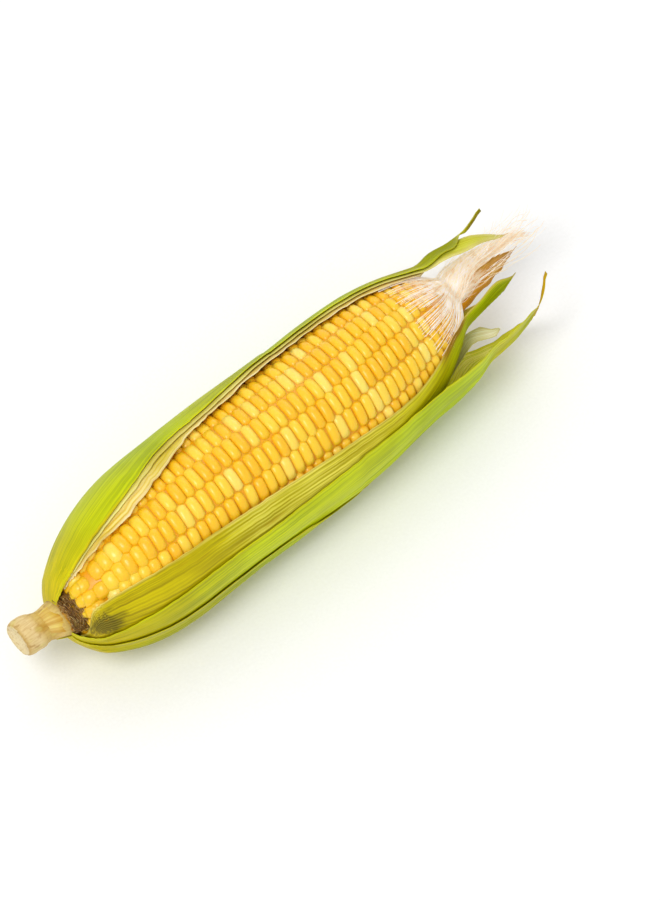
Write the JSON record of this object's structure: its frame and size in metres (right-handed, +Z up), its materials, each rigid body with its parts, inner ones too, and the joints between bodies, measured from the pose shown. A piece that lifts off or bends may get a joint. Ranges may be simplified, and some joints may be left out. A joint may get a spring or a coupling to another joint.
{
  "type": "ear of sweetcorn",
  "caption": "Ear of sweetcorn lying on its side, green husk leaves folded back from rows of yellow kernels, with silk at the tip and a short cut shank.",
  "frame": {"origin": "middle of the underside of the ear's box, on the surface that the ear lies on", "axes": "+X along the ear from the cut shank to the silk, +Z up through the opening in the husk, +Y across the ear on the side where the outer leaf stands off"},
  "size_m": [0.2366, 0.0576, 0.0548],
  "materials": {
    "kernels": "satin",
    "shank": "satin",
    "husk_green": "satin",
    "husk_straw": "satin",
    "husk_pale": "satin",
    "husk_golden": "satin",
    "silk": "satin",
    "silk_dry": "matte"
  },
  "bodies": {
    "root": {"cob": "kernels", "shank": "shank", "husk_inner_back": "husk_golden", "husk_inner_near": "husk_straw", "husk_inner_far": "husk_pale", "husk_middle_far": "husk_green", "husk_curled_near": "husk_green", "husk_outer_near": "husk_green", "husk_outer_far": "husk_green", "husk_outer_under": "husk_green", "husk_torn_base": "husk_straw", "silk_dry": "silk_dry", "silk_tress": "silk"}
  },
  "joints": []
}
